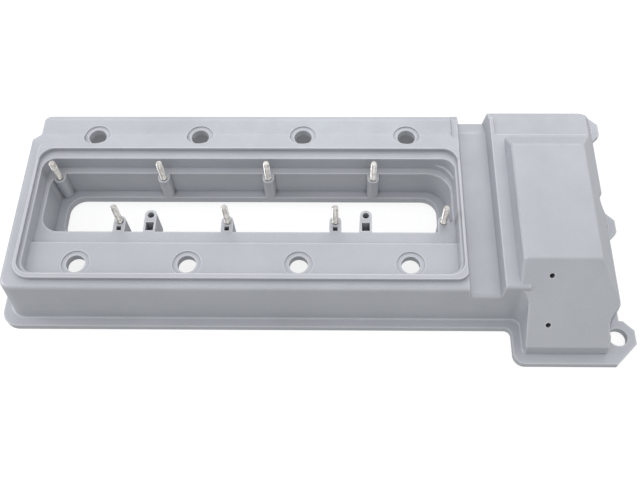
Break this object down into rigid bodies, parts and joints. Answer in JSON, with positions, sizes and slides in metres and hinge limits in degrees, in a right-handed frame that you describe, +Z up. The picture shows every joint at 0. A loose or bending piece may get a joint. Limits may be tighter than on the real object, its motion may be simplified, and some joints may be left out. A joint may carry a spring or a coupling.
{
  "type": "engine valve cover",
  "caption": "Cast engine valve cover with a long open coil well, coil studs, recessed fixing holes and a raised timing end on a flat gasket flange.",
  "frame": {"origin": "on the gasket plane, in the middle of the part's plan rectangle", "axes": "+X along the engine towards the timing case, +Y across to the valley side, +Z up, away from the head"},
  "size_m": [0.565, 0.268, 0.075],
  "materials": {
    "painted_casting": "matte silver grey, fine grain",
    "stud_steel": "satin, threaded"
  },
  "bodies": {
    "root": {"cover_casting": "painted_casting", "coil_stud_back_1": "stud_steel", "coil_stud_back_2": "stud_steel", "coil_stud_back_3": "stud_steel", "coil_stud_back_4": "stud_steel", "coil_stud_front_1": "stud_steel", "coil_stud_front_2": "stud_steel", "coil_stud_front_3": "stud_steel", "coil_stud_front_4": "stud_steel"}
  },
  "joints": []
}
